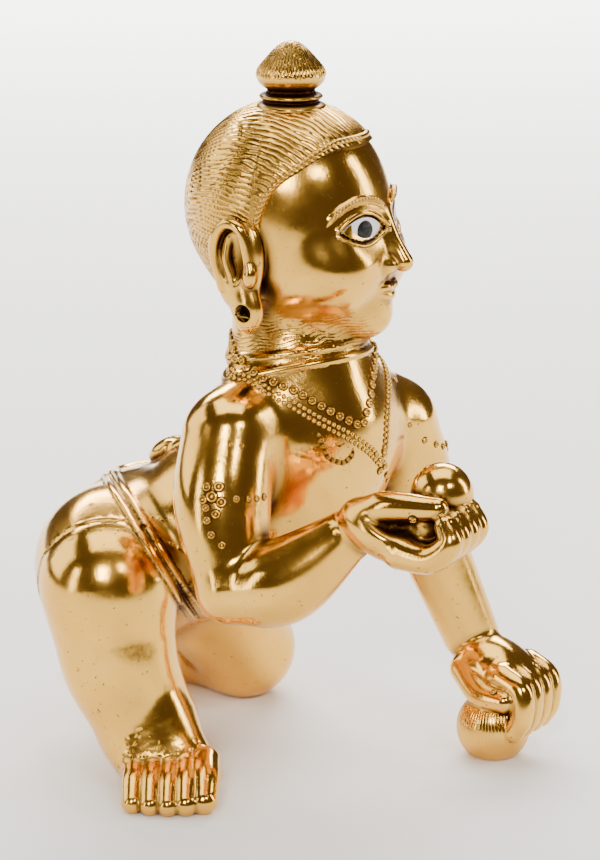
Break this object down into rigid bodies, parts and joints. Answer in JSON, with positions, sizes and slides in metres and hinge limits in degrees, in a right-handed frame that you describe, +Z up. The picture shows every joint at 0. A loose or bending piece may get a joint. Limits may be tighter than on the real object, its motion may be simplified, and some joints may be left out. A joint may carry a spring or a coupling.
{
  "type": "laddu gopal idol",
  "caption": "Cast brass figure of the crawling child with a topknot, inlaid eyes and a round sweet in each hand.",
  "frame": {"origin": "on the floor under the middle of the figure's bounding box", "axes": "+Z up, -Y the way the chest faces, +X towards the figure's left"},
  "size_m": [0.0652, 0.1008, 0.1099],
  "materials": {
    "brass": "mirror polished, with fine file marks and darker recesses",
    "eye_enamel": "glossy white enamel with a black pupil"
  },
  "bodies": {
    "root": {"idol_body": "brass", "eye_right": "eye_enamel", "eye_left": "eye_enamel"}
  },
  "joints": []
}
